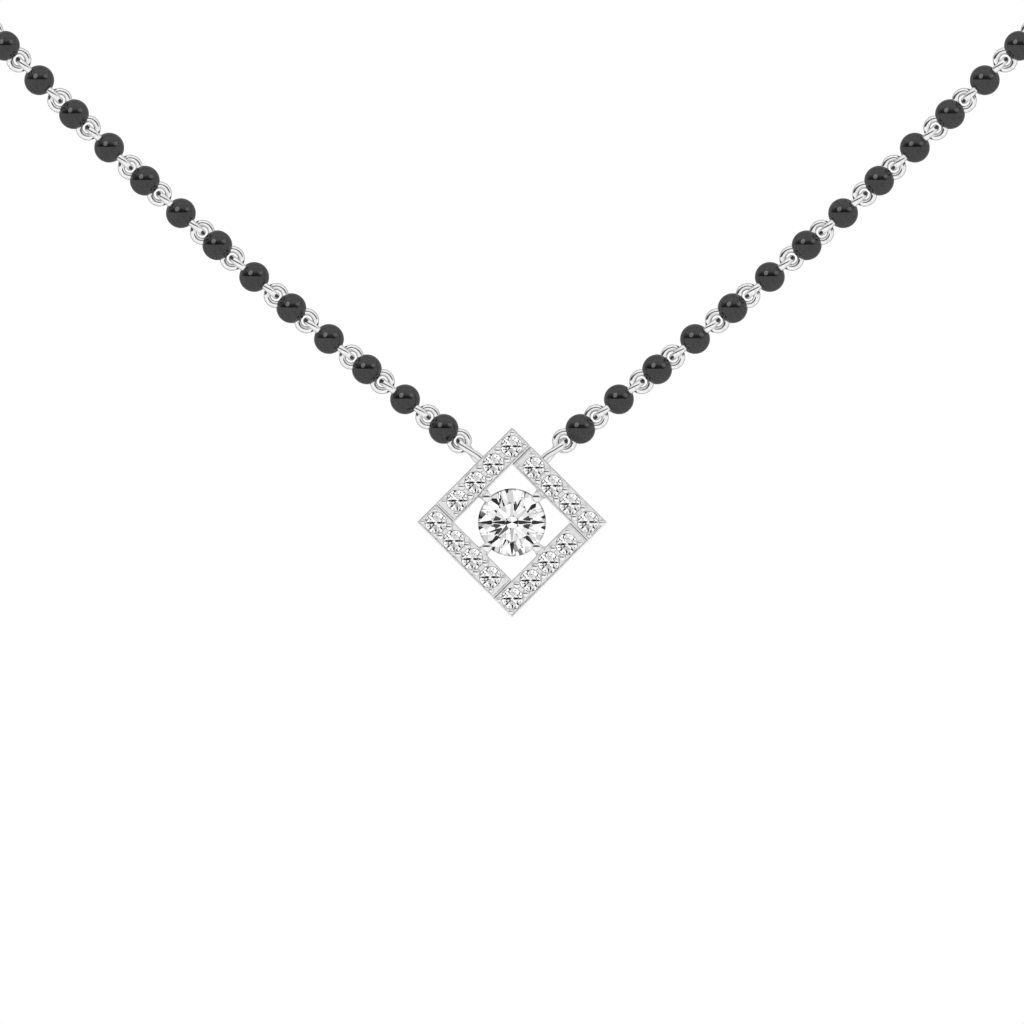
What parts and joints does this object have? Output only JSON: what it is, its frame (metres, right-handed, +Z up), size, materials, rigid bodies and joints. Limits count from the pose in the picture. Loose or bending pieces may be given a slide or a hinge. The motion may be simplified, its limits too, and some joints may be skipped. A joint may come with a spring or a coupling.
{
  "type": "mangalsutra",
  "caption": "Necklace of round black beads on linked eye pins, with a square stone-set pendant hung on point between two oval links.",
  "frame": {"origin": "middle of the clasp, where the strand rests on the nape", "axes": "+Z up along the neck, the pendant faces -Y, +X to the right of someone who looks at the pendant"},
  "size_m": [0.1288, 0.0914, 0.0899],
  "materials": {
    "white_gold": "polished",
    "clear_stone": "faceted and polished",
    "black_bead": "polished"
  },
  "bodies": {
    "root": {"pendant_frame": "white_gold", "centre_stone": "clear_stone", "stone_01": "clear_stone", "stone_02": "clear_stone", "stone_03": "clear_stone", "stone_04": "clear_stone", "stone_05": "clear_stone", "stone_06": "clear_stone", "stone_07": "clear_stone", "stone_08": "clear_stone", "stone_09": "clear_stone", "stone_10": "clear_stone", "stone_11": "clear_stone", "stone_12": "clear_stone", "stone_13": "clear_stone", "stone_14": "clear_stone", "stone_15": "clear_stone", "stone_16": "clear_stone", "pendant_link_left": "white_gold", "pendant_link_right": "white_gold", "eye_pins_left": "white_gold", "eye_pins_right": "white_gold", "beads_left": "black_bead", "beads_right": "black_bead", "clasp": "white_gold"}
  },
  "joints": []
}
